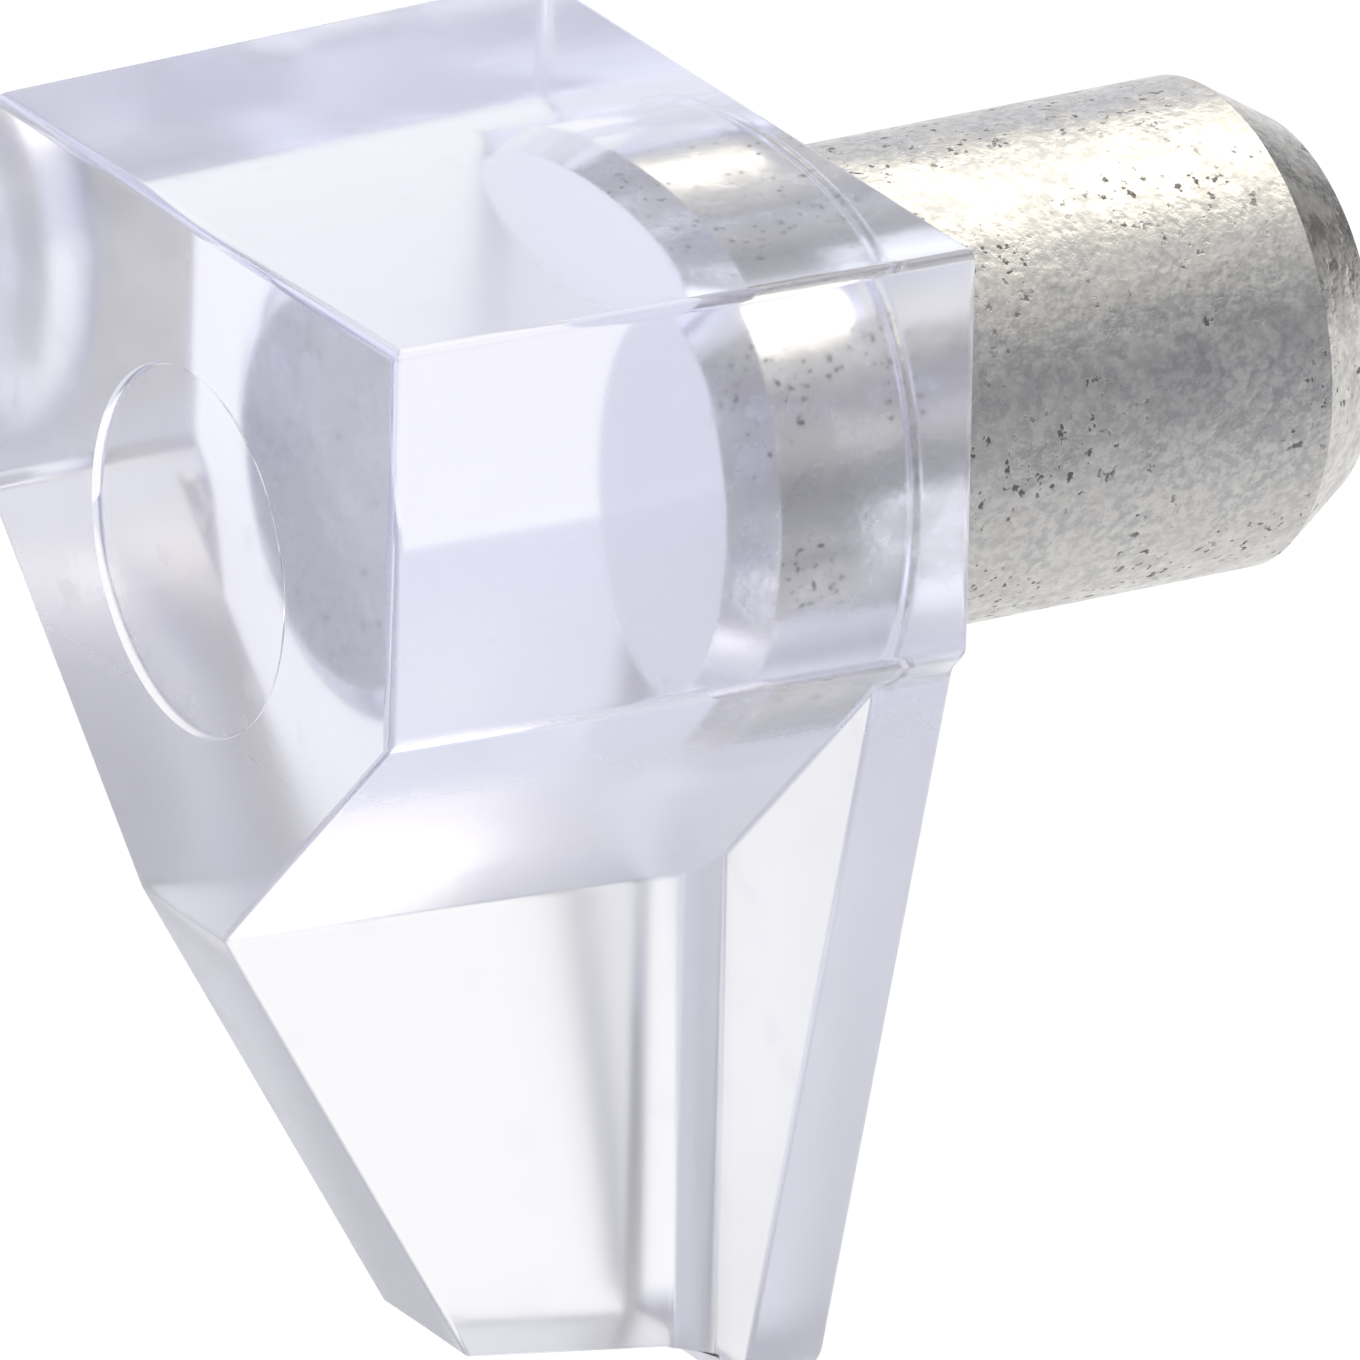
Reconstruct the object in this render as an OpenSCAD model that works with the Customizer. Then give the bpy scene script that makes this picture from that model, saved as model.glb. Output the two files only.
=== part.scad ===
// Shelf support pin: a clear moulded bracket with a steel pin set in its back.
// Row frame in mm: the origin is where the pin's axis leaves the back face,
// +X runs out along the pin into the cabinet's side, +Z is up towards the shelf.

/* [Pin] */
// Diameter of the pin, for a standard drilled shelf hole
pin_d = 5.0; // [3:0.1:6]
// Length of the pin outside the bracket, chamfer included
pin_out = 6.0; // [4:0.1:12]
// Length of the chamfer at the pin's outer end
chamfer_l = 0.8; // [0.2:0.1:1.2]
// How far that chamfer narrows the pin's radius
chamfer_r = 0.5; // [0.1:0.05:1]

/* [Shank] */
// Height of the shoulder, which makes the shank inside the bracket thinner than the pin outside
shoulder = 0.16; // [0.16:0.02:0.6]
// How far the pin's full diameter reaches into the back face before the shoulder
lip = 0.05; // [0.05:0.05:0.15]
// Length of the pin inside the bracket, chamfer included
shank_l = 2.0; // [1.2:0.1:4]
// Length of the chamfer at the shank's end
shank_chamfer_l = 0.5; // [0.2:0.1:1]
// How far that chamfer narrows the shank's radius
shank_chamfer_r = 0.35; // [0.1:0.05:1]
// Gap between the pin and the plastic moulded round it
pin_fit = 0; // [0:0.01:0.05]

/* [Block] */
// Length of the shelf seat, from the front face to the back face
seat_l = 6.5; // [5:0.1:12]
// Width of the seat at the front face
front_w = 8.0; // [7:0.1:14]
// Width of the seat at the back face
back_w = 8.5; // [7:0.1:15]
// Height of the seat above the pin's axis
seat_h = 3.2; // [2.8:0.1:6]
// Height of the side faces at the front
side_h = 4.2; // [3:0.1:8]
// How much taller the side faces are at the back
side_drop = 0.1; // [0:0.05:1]
// Slope of the two undersides, in degrees
under_angle = 45; // [30:1:60]
// Diameter of the round moulding mark in the front face
mark_d = 3.8; // [2:0.1:5]
// How far the mark's centre lies below the pin's axis
mark_drop = 0.3; // [0:0.1:1]
// Depth of the moulding mark
mark_depth = 0.1; // [0.05:0.05:0.3]

/* [Web and back plate] */
// Height of the whole bracket, from the seat to the foot of the back plate
bracket_h = 13.0; // [11:0.1:20]
// Thickness of the central web
web_t = 1.7; // [1:0.1:3]
// Radius of the fillets between the web and the back plate
web_fillet = 0.4; // [0.1:0.05:0.6]
// Length of the web's foot, from its front corner to the back face
foot_l = 3.6; // [2:0.1:6]
// Height of the web's front corner above the foot of the back plate
foot_rise = 0.6; // [0:0.05:2]
// Height of the web's back corner above the foot of the back plate
foot_step = 0.2; // [0:0.05:1]
// Thickness of the back plate
plate_t = 0.9; // [0.6:0.1:2]
// Width of the back plate where it leaves the block
plate_top_w = 8.3; // [6:0.1:14]
// Width of the back plate at its foot
plate_foot_w = 3.3; // [2:0.1:8]
// Radius of the back plate's foot corners
foot_r = 0.5; // [0.2:0.1:1]

/* [Hidden] */
$fn = 96;
pin_r = pin_d / 2;
end_r = pin_r - chamfer_r;
shank_r = pin_r - shoulder;
web_y = web_t / 2;
foot_z = seat_h - bracket_h;
side_front_z = seat_h - side_h;
side_back_z = side_front_z - side_drop;
under_slope = tan(under_angle);
under_front_z = side_front_z - (front_w / 2 - web_y) * under_slope;
// the web and the back plate start inside the block by this much
root = 0.5;
// a cut runs past its face by this much
past = 1;
plate_top_z = side_back_z + root;
plate_lean = atan((plate_top_w - plate_foot_w) / 2 / (plate_top_z - foot_z));
foot_y = plate_foot_w / 2 - foot_r * (1 - sin(plate_lean)) / cos(plate_lean);

// the block's outline at one end: a flat seat, upright sides, two sloped undersides
function outline(half_w, side_z) = [
    [half_w, seat_h],
    [-half_w, seat_h],
    [-half_w, side_z],
    [-web_y, side_z - (half_w - web_y) * under_slope],
    [web_y, side_z - (half_w - web_y) * under_slope],
    [half_w, side_z]
];

module block() {
    front = outline(front_w / 2, side_front_z);
    back = outline(back_w / 2, side_back_z);
    n = len(front);
    polyhedron(
        points = concat([for (p = front) [-seat_l, p[0], p[1]]], [for (p = back) [0, p[0], p[1]]]),
        faces = concat(
            [[for (i = [0:n - 1]) i]],
            [[for (i = [0:n - 1]) 2 * n - 1 - i]],
            [for (i = [0:n - 1]) [i + n, (i + 1) % n + n, (i + 1) % n, i]]
        )
    );
}

module web(width) {
    rotate([90, 0, 0])
        linear_extrude(height = width, center = true)
            polygon([
                [-seat_l, under_front_z + root],
                [-seat_l, under_front_z],
                [-foot_l, foot_z + foot_rise],
                [-plate_t, foot_z + foot_step],
                [-plate_t / 2, foot_z + foot_step],
                [-plate_t / 2, under_front_z + root]
            ]);
}

// the fillets run the web's whole height, and end where its side view does
module web_fillets() {
    reach = web_y + web_fillet;
    intersection() {
        web(2 * reach);
        translate([0, 0, foot_z])
            linear_extrude(height = bracket_h - seat_h)
                difference() {
                    translate([-plate_t - web_fillet, -reach])
                        square([web_fillet + plate_t / 2, 2 * reach]);
                    for (s = [-1, 1])
                        translate([-plate_t - web_fillet, s * reach])
                            circle(r = web_fillet);
                }
    }
}

module back_plate() {
    side_y = foot_y + foot_r * cos(plate_lean);
    side_z = foot_z + foot_r * (1 - sin(plate_lean));
    translate([-plate_t, 0, 0])
        rotate([90, 0, 90])
            linear_extrude(height = plate_t) {
                polygon([
                    [-plate_top_w / 2, plate_top_z],
                    [-side_y, side_z],
                    [-foot_y, foot_z],
                    [foot_y, foot_z],
                    [side_y, side_z],
                    [plate_top_w / 2, plate_top_z]
                ]);
                for (s = [-1, 1])
                    translate([s * foot_y, foot_z + foot_r])
                        circle(r = foot_r);
            }
}

// the pin's profile turned about X, from its inner end to x_end; gap stands off its surface
module turned(gap, x_end, end_radius) {
    rotate([0, 90, 0])
        rotate_extrude()
            polygon([
                [0, -shank_l - gap],
                [shank_r - shank_chamfer_r + gap, -shank_l - gap],
                [shank_r + gap, -shank_l + shank_chamfer_l],
                [shank_r + gap, -lip - gap],
                [pin_r + gap, -lip - gap],
                [pin_r + gap, x_end - (pin_r - end_radius) * chamfer_l / chamfer_r],
                [end_radius + gap, x_end],
                [0, x_end]
            ]);
}

module pin() {
    color([0.74, 0.73, 0.70])
        turned(0, pin_out, end_r);
}

module bracket() {
    color([0.90, 0.90, 0.96, 0.45])
        difference() {
            union() {
                block();
                web(web_t);
                web_fillets();
                back_plate();
            }
            turned(pin_fit, past, pin_r);
            translate([-seat_l - past, 0, -mark_drop])
                rotate([0, 90, 0])
                    cylinder(d = mark_d, h = past + mark_depth);
        }
}

bracket();
pin();
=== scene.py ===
"""Looks of a shelf support: a clear moulded bracket round a plated steel pin."""

from math import cos, pi, radians, sin

import bmesh
import bpy
from mathutils import Matrix, Vector


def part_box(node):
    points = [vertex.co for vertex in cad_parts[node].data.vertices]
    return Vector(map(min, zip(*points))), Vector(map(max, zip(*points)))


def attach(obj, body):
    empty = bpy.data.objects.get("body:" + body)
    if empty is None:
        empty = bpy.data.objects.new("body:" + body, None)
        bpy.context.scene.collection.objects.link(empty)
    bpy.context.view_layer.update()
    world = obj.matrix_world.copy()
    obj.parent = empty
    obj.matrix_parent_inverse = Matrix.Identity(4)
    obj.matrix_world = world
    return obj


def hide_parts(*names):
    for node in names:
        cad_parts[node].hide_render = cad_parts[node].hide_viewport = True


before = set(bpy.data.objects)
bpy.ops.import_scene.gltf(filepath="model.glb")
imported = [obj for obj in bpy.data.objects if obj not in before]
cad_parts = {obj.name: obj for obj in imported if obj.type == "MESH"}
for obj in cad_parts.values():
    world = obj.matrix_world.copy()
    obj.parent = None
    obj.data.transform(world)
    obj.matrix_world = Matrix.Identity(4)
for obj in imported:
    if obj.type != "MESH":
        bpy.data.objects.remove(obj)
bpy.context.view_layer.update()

MM = 0.001
PIN_LOW, PIN_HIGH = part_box("pin")

# the pin, turned about X, and the thinner shank inside the plastic
PIN_R = PIN_HIGH.z
PIN_END = PIN_HIGH.x
CHAMFER_L = 0.8 * MM
CHAMFER_R = 0.5 * MM
# the step down to the shank is made up, and the real pin may be plain
SHOULDER = 0.16 * MM
SHANK_R = PIN_R - SHOULDER
SHANK_END = PIN_LOW.x
LIP = 0.05 * MM
SHANK_CHAMFER_L = 0.5 * MM
SHANK_CHAMFER_R = 0.35 * MM
PIN_EDGE = 0.03 * MM
CORNER_STEPS = 5
SEGMENTS = 192
# points of the turned mesh closer than this are one
TURNED_WELD = 0.0005 * MM

# the bracket, moulded round the pin
FRONT_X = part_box("bracket")[0].x
MARK_R = 1.9 * MM
MARK_Z = -0.3 * MM
MARK_DEPTH = 0.1 * MM
MARK_EDGE = 0.6 * MARK_DEPTH
# how far the plastic stands off the pin, so that their faces never share a place
SHRINK_GAP = 0.01 * MM

# the web's fillets lie in front of this plane, and between these distances from the middle
FILLET_X = -0.91 * MM
WEB_SIDE = 0.86 * MM
FILLET_SIDE = 1.3 * MM
# an edge that stays above this height is rounded in full, and one that runs lower is rounded less
ROUNDED_ABOVE = -3.5 * MM
MOULD_EDGE = 0.12 * MM
FINE_EDGE = 0.06 * MM
EDGE_STEPS = 4
# an edge that turns by more than this is rounded
EDGE_ANGLE = radians(20)
# an edge that turns by more than this shades sharp
SHARP_ANGLE = radians(28)

# cleaning the CAD mesh: points this close are one, and faces this near to flat are joined
CAD_WELD = 0.002 * MM
FLAT_ANGLE = radians(1.6)
HALVES_WELD = 0.001 * MM
# the socket's wall lies within the pin's radius and this much more
SOCKET_SLACK = 0.05 * MM

# the point of the middle plane that the camera looks at, and where the camera stands from it
AIM = Vector((-0.8, 0, -2.74)) * MM
AZIMUTH = radians(-30.86)
ELEVATION = radians(21.99)
ROLL = radians(1.2)
CAMERA_DISTANCE = 500 * MM
VIEW_WIDTH = 13.535 * MM
SENSOR = 36.0
CLIP_START = 10 * MM
CLIP_END = 10000 * MM
TOWARDS_CAMERA = Vector((
    sin(AZIMUTH) * cos(ELEVATION),
    -cos(AZIMUTH) * cos(ELEVATION),
    sin(ELEVATION),
))

# the floor, and the stretches over which its brightness changes
FLOOR_Z = -60 * MM
FLOOR_SIZE = 4.0
FLOOR_NEAR, FLOOR_FAR = -110 * MM, 60 * MM
FLOOR_LEFT, FLOOR_RIGHT = -60 * MM, 60 * MM


class Wire:
    """One output of a node tree. Arithmetic on it adds Math nodes to that tree."""

    def __init__(self, tree, output=None):
        self.tree = tree
        self.output = output

    def node(self, kind, settings=(), sockets=(), output=0):
        """Adds a node of any type: its settings first, then what its sockets hold."""
        made = self.tree.nodes.new(kind)
        for name, value in dict(settings).items():
            if name == "items":
                while len(made.index_switch_items) < value:
                    made.index_switch_items.new()
            else:
                setattr(made, name, value)
        for name, value in dict(sockets).items():
            if isinstance(value, Wire):
                self.tree.links.new(value.output, made.inputs[name])
            else:
                made.inputs[name].default_value = value
        return Wire(self.tree, made.outputs[output] if len(made.outputs) else None)

    def math(self, operation, *parts):
        return self.node("ShaderNodeMath", {"operation": operation}, enumerate(parts))

    def __add__(self, other):
        return self.math("ADD", self, other)

    def __radd__(self, other):
        return self.math("ADD", other, self)

    def __sub__(self, other):
        return self.math("SUBTRACT", self, other)

    def __rsub__(self, other):
        return self.math("SUBTRACT", other, self)

    def __mul__(self, other):
        return self.math("MULTIPLY", self, other)

    def __rmul__(self, other):
        return self.math("MULTIPLY", other, self)

    def ramp(self, low, high):
        """0 up to low, 1 from high on, and a smooth rise between them."""
        sockets = {"Value": self, "From Min": low, "From Max": high}
        return self.node("ShaderNodeMapRange", {"interpolation_type": "SMOOTHSTEP"}, sockets)

    def mix(self, low, high):
        """The colour low where this value is 0, and the colour high where it is 1."""
        sockets = {0: self, 6: low, 7: high}
        return self.node("ShaderNodeMix", {"data_type": "RGBA"}, sockets, output=2)

    def along(self, direction):
        """How far this vector runs along a direction."""
        settings = {"operation": "DOT_PRODUCT"}
        return self.node("ShaderNodeVectorMath", settings, {0: self, 1: direction}, output="Value")

    def noise(self, scale, detail=2.0, roughness=0.5):
        """A soft random pattern at this place, finer as the scale grows."""
        sockets = {"Vector": self, "Scale": scale, "Detail": detail, "Roughness": roughness}
        return self.node("ShaderNodeTexNoise", sockets=sockets)


def grey(level):
    return (level, level, level, 1)


def cool(level):
    """A pale light with a faint lavender cast."""
    return (0.92 * level, 0.94 * level, 1.03 * level, 1)


def new_finish(name):
    """An empty material, a wire into its tree, and the place on the piece that is painted."""
    finish = bpy.data.materials.new(name)
    finish.use_nodes = True
    finish.node_tree.nodes.clear()
    paint = Wire(finish.node_tree)
    place = paint.node("ShaderNodeTexCoord", output="Object")
    return finish, paint, place


def steel_finish():
    """Dull nickel plating: a mottled warm grey, with small dark pits in clusters, and the shank inside
    the plastic painted lighter as painted light.
    """
    finish, paint, place = new_finish("plated steel")
    mottle = place.noise(9000, detail=3, roughness=0.65)
    clouds = place.noise(900, detail=2)
    worn = place.noise(2600, detail=3, roughness=0.6).ramp(0.38, 0.62)
    clusters = place.noise(1000, detail=2).ramp(0.46, 0.60)
    pits = place.noise(9500, detail=2, roughness=0.55).ramp(0.60, 0.70) * clusters
    colour = clouds.ramp(0.35, 0.65).mix((0.50, 0.495, 0.49, 1), (0.58, 0.565, 0.535, 1))
    colour = mottle.ramp(0.38, 0.62).mix(colour, (0.68, 0.665, 0.63, 1))
    # painted light: the shank inside the plastic gets a lighter grey, to brighten how it shows through
    # the plastic
    inside_painted_lighter = place.along((-1, 0, 0)).ramp(0, 0.1 * MM)
    colour = inside_painted_lighter.mix(colour, (0.78, 0.77, 0.75, 1))
    colour = pits.mix(colour, (0.17, 0.16, 0.15, 1))
    height = mottle + 0.7 * worn - pits
    sockets = {"Strength": 0.4, "Distance": 0.02 * MM, "Height": height}
    bump = paint.node("ShaderNodeBump", sockets=sockets)
    shader = paint.node("ShaderNodeBsdfPrincipled", sockets={
        "Base Color": colour,
        "Metallic": 1 - 0.4 * pits,
        "Roughness": 0.24 + 0.18 * worn + 0.2 * pits,
        "Normal": bump,
    })
    paint.node("ShaderNodeOutputMaterial", sockets={"Surface": shader})
    return finish


def clear_plastic():
    """Clear plastic with a faint lavender cast, moulding ripple and light scuffs."""
    finish, paint, place = new_finish("clear plastic")
    ripple = place.noise(380, detail=0)
    scuffs = place.noise(1500, detail=2, roughness=0.6).ramp(0.58, 0.72)
    low = place.along((0, 0, -1)).ramp(0.9 * MM, 2.2 * MM)
    sockets = {"Strength": 0.3, "Distance": 0.02 * MM, "Height": ripple}
    bump = paint.node("ShaderNodeBump", sockets=sockets)
    shader = paint.node("ShaderNodeBsdfPrincipled", sockets={
        "Base Color": (1, 1, 1, 1),
        "Roughness": 0.12 + 0.16 * low + 0.08 * scuffs,
        "IOR": 1.5,
        "Transmission Weight": 1.0,
        "Normal": bump,
    })
    sockets = {"Color": (0.885, 0.88, 1.0, 1), "Density": 85.0}
    tint = paint.node("ShaderNodeVolumeAbsorption", sockets=sockets)
    paint.node("ShaderNodeOutputMaterial", sockets={"Surface": shader, "Volume": tint})
    return finish


def turned_tree():
    """A turned piece: half of its outline, with rounded corners, swept once about X."""
    tree = bpy.data.node_groups.new("turned piece", "GeometryNodeTree")
    tree.is_modifier = True
    sizes = [
        "Radius", "End", "Chamfer Length", "Chamfer Depth",
        "Shank Radius", "Shank End", "Shank Chamfer Length", "Shank Chamfer Depth",
        "Lip", "Edge Radius", "Stand Off",
    ]
    for name in sizes:
        tree.interface.new_socket(name, in_out="INPUT", socket_type="NodeSocketFloat")
    tree.interface.new_socket("Segments", in_out="INPUT", socket_type="NodeSocketInt")
    tree.interface.new_socket("Finish", in_out="INPUT", socket_type="NodeSocketMaterial")
    tree.interface.new_socket("Geometry", in_out="OUTPUT", socket_type="NodeSocketGeometry")
    given = tree.nodes.new("NodeGroupInput")
    size = {socket.name: Wire(tree, socket) for socket in given.outputs if socket.name}
    make = Wire(tree)
    gap = size["Stand Off"]
    pin_r = size["Radius"] + gap
    shank_r = size["Shank Radius"] + gap
    shoulder = 0 - size["Lip"] - gap
    outline = [
        (size["Shank End"] - gap, 0),
        (size["Shank End"] - gap, shank_r - size["Shank Chamfer Depth"]),
        (size["Shank End"] + size["Shank Chamfer Length"], shank_r),
        (shoulder, shank_r),
        (shoulder, pin_r),
        (size["End"] - size["Chamfer Length"], pin_r),
        (size["End"] + gap, pin_r - size["Chamfer Depth"]),
        (size["End"] + gap, 0),
    ]
    corners = [
        make.node("ShaderNodeCombineXYZ", sockets={0: r - size["Radius"], 1: x})
        for x, r in outline
    ]
    line = make.node("GeometryNodeMeshLine", sockets={"Count": len(outline)})
    sockets = {0: make.node("GeometryNodeInputIndex")}
    sockets.update({i + 1: corner for i, corner in enumerate(corners)})
    settings = {"data_type": "VECTOR", "items": len(outline)}
    own_corner = make.node("GeometryNodeIndexSwitch", settings, sockets)
    line = make.node("GeometryNodeSetPosition", sockets={"Geometry": line, "Position": own_corner})
    line = make.node("GeometryNodeMeshToCurve", sockets={"Mesh": line})
    sockets = {"Curve": line, "Count": CORNER_STEPS, "Radius": size["Edge Radius"], "Limit Radius": True}
    profile = make.node("GeometryNodeFilletCurve", {"mode": "POLY"}, sockets)
    sockets = {"Resolution": size["Segments"], "Radius": size["Radius"]}
    path = make.node("GeometryNodeCurvePrimitiveCircle", sockets=sockets)
    path = make.node("GeometryNodeSetCurveNormal", {"mode": "Z_UP"}, {"Curve": path})
    sweep = make.node("GeometryNodeCurveToMesh", sockets={"Curve": path, "Profile Curve": profile})
    sockets = {"Geometry": sweep, "Distance": TURNED_WELD}
    sweep = make.node("GeometryNodeMergeByDistance", sockets=sockets)
    sockets = {"Geometry": sweep, "Rotation": (0, -pi / 2, 0)}
    sweep = make.node("GeometryNodeTransform", sockets=sockets)
    sweep = make.node("GeometryNodeRealizeInstances", sockets={"Geometry": sweep})
    sockets = {"Geometry": sweep, "Material": size["Finish"]}
    sweep = make.node("GeometryNodeSetMaterial", sockets=sockets)
    done = tree.nodes.new("NodeGroupOutput")
    tree.links.new(sweep.output, done.inputs["Geometry"])
    return tree


def grown(name, tree, **inputs):
    """A plain mesh from a geometry tree, with the tree's named inputs set."""
    seed = bpy.data.objects.new(name + " seed", bpy.data.meshes.new(name + " seed"))
    bpy.context.scene.collection.objects.link(seed)
    modifier = seed.modifiers.new(name, "NODES")
    modifier.node_group = tree
    sockets = {s.name: s.identifier for s in tree.interface.items_tree if s.in_out == "INPUT"}
    for label, value in inputs.items():
        modifier[sockets[label.replace("_", " ")]] = value
    mesh = evaluated_mesh(seed, name)
    bpy.data.objects.remove(seed)
    return mesh


def evaluated_mesh(obj, name):
    """The mesh that an object's modifiers make."""
    bpy.context.view_layer.update()
    depsgraph = bpy.context.evaluated_depsgraph_get()
    mesh = bpy.data.meshes.new_from_object(obj.evaluated_get(depsgraph))
    mesh.name = name
    return mesh


def facing_out(mesh):
    """Turns every face of a closed mesh outwards."""
    work = bmesh.new()
    work.from_mesh(mesh)
    bmesh.ops.recalc_face_normals(work, faces=work.faces)
    work.to_mesh(mesh)
    work.free()
    return mesh


def turned_pin(name, tree, finish, stand_off):
    """The pin, or the same form grown by a stand off, which leaves its hole in the plastic."""
    return facing_out(grown(
        name, tree,
        Radius=PIN_R, End=PIN_END, Chamfer_Length=CHAMFER_L, Chamfer_Depth=CHAMFER_R,
        Shank_Radius=SHANK_R, Shank_End=SHANK_END,
        Shank_Chamfer_Length=SHANK_CHAMFER_L, Shank_Chamfer_Depth=SHANK_CHAMFER_R,
        Lip=LIP, Edge_Radius=PIN_EDGE, Stand_Off=stand_off, Segments=SEGMENTS, Finish=finish,
    ))


def mark_core(finish):
    """The round step that the ejector leaves in the front face."""
    work = bmesh.new()
    depth = 2 * MARK_DEPTH
    bmesh.ops.create_cone(
        work, cap_ends=True, segments=SEGMENTS, radius1=MARK_R, radius2=MARK_R, depth=depth,
        matrix=Matrix.Translation((FRONT_X, 0, MARK_Z)) @ Matrix.Rotation(pi / 2, 4, "Y"),
    )
    inner = [edge for edge in work.edges if all(vert.co.x > FRONT_X for vert in edge.verts)]
    bmesh.ops.bevel(
        work, geom=inner, offset=MARK_EDGE, segments=EDGE_STEPS, profile=0.5, affect="EDGES",
    )
    mesh = bpy.data.meshes.new("mark core")
    work.to_mesh(mesh)
    work.free()
    mesh.materials.append(finish)
    return mesh


def without_round_cuts(work):
    """Takes the socket and the moulding mark out of the CAD mesh, and closes their holes."""
    reach = PIN_R + SOCKET_SLACK

    def off_axis(vert):
        return (vert.co.y ** 2 + vert.co.z ** 2) ** 0.5

    cut = [face for face in work.faces if all(off_axis(vert) < reach for vert in face.verts)]
    bmesh.ops.delete(work, geom=cut, context="FACES")
    rims = [edge for edge in work.edges if edge.is_boundary]
    bmesh.ops.edgeloop_fill(work, edges=rims)


def edge_softness(edge):
    """How round an edge is: in full high on the block, less where it runs low, not on the fillets."""
    middle = (edge.verts[0].co + edge.verts[1].co) / 2
    if middle.x < FILLET_X and WEB_SIDE < abs(middle.y) < FILLET_SIDE:
        return 0.0
    high = all(vert.co.z > ROUNDED_ABOVE for vert in edge.verts)
    return 1.0 if high else FINE_EDGE / MOULD_EDGE


def moulded_bracket(finish, cores):
    """The bracket's CAD mesh with softened edges, and its socket and mark cut smoothly."""
    work = bmesh.new()
    work.from_mesh(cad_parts["bracket"].data)
    bmesh.ops.remove_doubles(work, verts=work.verts, dist=CAD_WELD)
    without_round_cuts(work)
    bmesh.ops.dissolve_limit(
        work, angle_limit=FLAT_ANGLE, use_dissolve_boundaries=False,
        verts=work.verts, edges=work.edges,
    )
    bmesh.ops.recalc_face_normals(work, faces=work.faces)
    soften = work.edges.layers.float.new("bevel_weight_edge")
    for edge in work.edges:
        if edge.calc_face_angle(0) > EDGE_ANGLE:
            edge[soften] = edge_softness(edge)
    mesh = bpy.data.meshes.new("blank")
    work.to_mesh(mesh)
    work.free()
    mesh.materials.clear()
    mesh.materials.append(finish)
    blank = bpy.data.objects.new("blank", mesh)
    bpy.context.scene.collection.objects.link(blank)
    halves = blank.modifiers.new("same halves", "MIRROR")
    halves.use_axis = (False, True, False)
    halves.use_bisect_axis = (False, True, False)
    halves.use_bisect_flip_axis = (False, True, False)
    halves.bisect_threshold = HALVES_WELD
    halves.merge_threshold = HALVES_WELD
    bevel = blank.modifiers.new("soft edges", "BEVEL")
    bevel.limit_method = "WEIGHT"
    bevel.width = MOULD_EDGE
    bevel.segments = EDGE_STEPS
    bevel.use_clamp_overlap = False
    tools = []
    for core in cores:
        tool = bpy.data.objects.new(core.name, core)
        bpy.context.scene.collection.objects.link(tool)
        cut = blank.modifiers.new(core.name, "BOOLEAN")
        cut.operation = "DIFFERENCE"
        cut.solver = "EXACT"
        cut.object = tool
        tools.append(tool)
    result = evaluated_mesh(blank, "clear_bracket")
    for spent in [blank, *tools]:
        bpy.data.objects.remove(spent)
    return result


def finished_piece(name, mesh, node):
    """Puts a piece in the scene in place of its CAD node."""
    mesh.shade_smooth()
    mesh.set_sharp_from_angle(angle=SHARP_ANGLE)
    piece = bpy.data.objects.new(name, mesh)
    bpy.context.scene.collection.objects.link(piece)
    even = piece.modifiers.new("even shading", "WEIGHTED_NORMAL")
    even.keep_sharp = True
    even.weight = 100
    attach(piece, "root")
    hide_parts(node)
    return piece


def floor():
    """A large floor, well below the hanging support, which glows by itself: painted light, brightest
    towards the near left, with painted shade towards the near right.
    """
    half = FLOOR_SIZE / 2
    corners = [(x * half, y * half, FLOOR_Z) for x, y in [(-1, -1), (1, -1), (1, 1), (-1, 1)]]
    mesh = bpy.data.meshes.new("floor")
    mesh.from_pydata(corners, [], [(0, 1, 2, 3)])
    finish, paint, place = new_finish("glowing floor")
    ahead = place.along(-TOWARDS_CAMERA.to_2d().to_3d().normalized()).ramp(FLOOR_NEAR, FLOOR_FAR)
    right = place.along((1, 0, 0)).ramp(FLOOR_LEFT, FLOOR_RIGHT)
    # painted light and shade in the floor's glow: a bright stretch near the left, a dim one near the
    # right, lighter again far to the right
    near = right.mix(cool(1.30), cool(0.42))
    far = right.mix(cool(0.80), grey(1.0))
    shader = paint.node("ShaderNodeBsdfPrincipled", sockets={
        "Base Color": (0, 0, 0, 1),
        "Roughness": 0.8,
        "Emission Color": ahead.mix(near, far),
        "Emission Strength": 1.0,
    })
    paint.node("ShaderNodeOutputMaterial", sockets={"Surface": shader})
    finish.cycles.emission_sampling = "NONE"
    mesh.materials.append(finish)
    plane = bpy.data.objects.new("floor", mesh)
    bpy.context.scene.collection.objects.link(plane)


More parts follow.
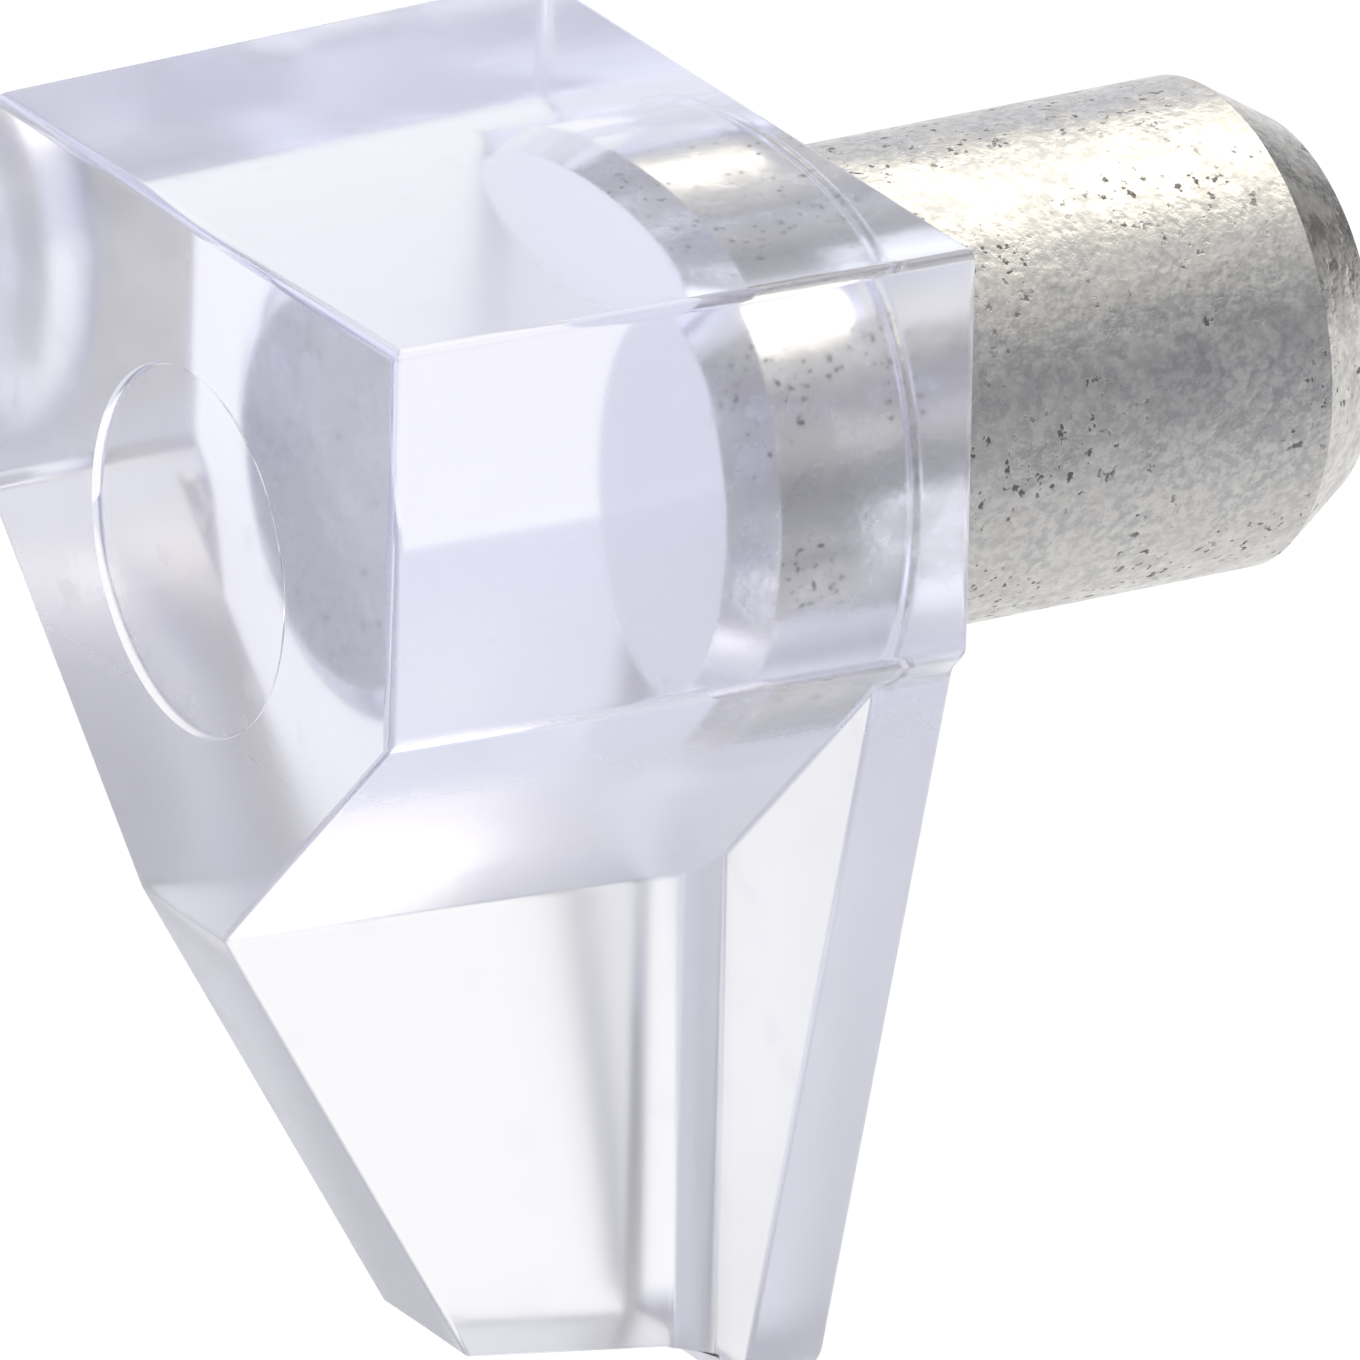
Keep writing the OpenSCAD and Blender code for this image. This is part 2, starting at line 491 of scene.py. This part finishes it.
def studio():
    """White behind the support, greyer towards the camera, and a soft box above."""
    world = bpy.data.worlds.new("studio")
    bpy.context.scene.world = world
    world.use_nodes = True
    world.cycles.sampling_method = "NONE"
    world.node_tree.nodes.clear()
    light = Wire(world.node_tree)
    way = light.node("ShaderNodeTexCoord", output="Generated")
    behind = way.along(-TOWARDS_CAMERA).ramp(-0.55, 0.3)
    right = way.along(Vector((1, 0, 0))).ramp(-0.5, 0.7)
    pin_end = way.along(Vector((1, 0, 0))).ramp(0.60, 0.97)
    above = way.along(Vector((0, 0, 1))).ramp(0.25, 0.85)
    box = way.along(Vector((0.48, 0.26, 0.84)).normalized()).ramp(0.86, 0.95)
    near = right.mix(cool(0.50), cool(0.36))
    far = right.mix(cool(0.80), cool(0.92))
    colour = behind.mix(near, far)
    colour = pin_end.mix(colour, grey(0.15))
    colour = above.mix(colour, grey(0.86))
    colour = box.mix(colour, (2.3, 2.2, 2.0, 1))
    shader = light.node("ShaderNodeBackground", sockets={"Color": colour})
    light.node("ShaderNodeOutputWorld", sockets={"Surface": shader})


def camera():
    """A long lens on the middle plane of the support."""
    data = bpy.data.cameras.new("camera")
    data.sensor_width = SENSOR
    data.lens = SENSOR * CAMERA_DISTANCE / VIEW_WIDTH
    data.clip_start = CLIP_START
    data.clip_end = CLIP_END
    eye = bpy.data.objects.new("camera", data)
    bpy.context.scene.collection.objects.link(eye)
    upright = TOWARDS_CAMERA.to_track_quat("Z", "Y").to_matrix().to_4x4()
    eye.matrix_world = (
        Matrix.Translation(AIM + CAMERA_DISTANCE * TOWARDS_CAMERA)
        @ upright
        @ Matrix.Rotation(ROLL, 4, "Z")
    )
    bpy.context.scene.camera = eye


def light_paths():
    """Enough bounces for light that is trapped in the plastic."""
    scene = bpy.context.scene
    scene.view_settings.view_transform = "Standard"
    scene.cycles.max_bounces = 20
    scene.cycles.transmission_bounces = 20
    scene.cycles.glossy_bounces = 12


camera()
light_paths()
studio()
floor()
plastic = clear_plastic()
steel = steel_finish()
turning = turned_tree()
pin_mesh = turned_pin("steel_pin", turning, steel, 0.0)
finished_piece("steel_pin", pin_mesh, "pin")
cores = [turned_pin("socket core", turning, plastic, SHRINK_GAP), mark_core(plastic)]
finished_piece("clear_bracket", moulded_bracket(plastic, cores), "bracket")
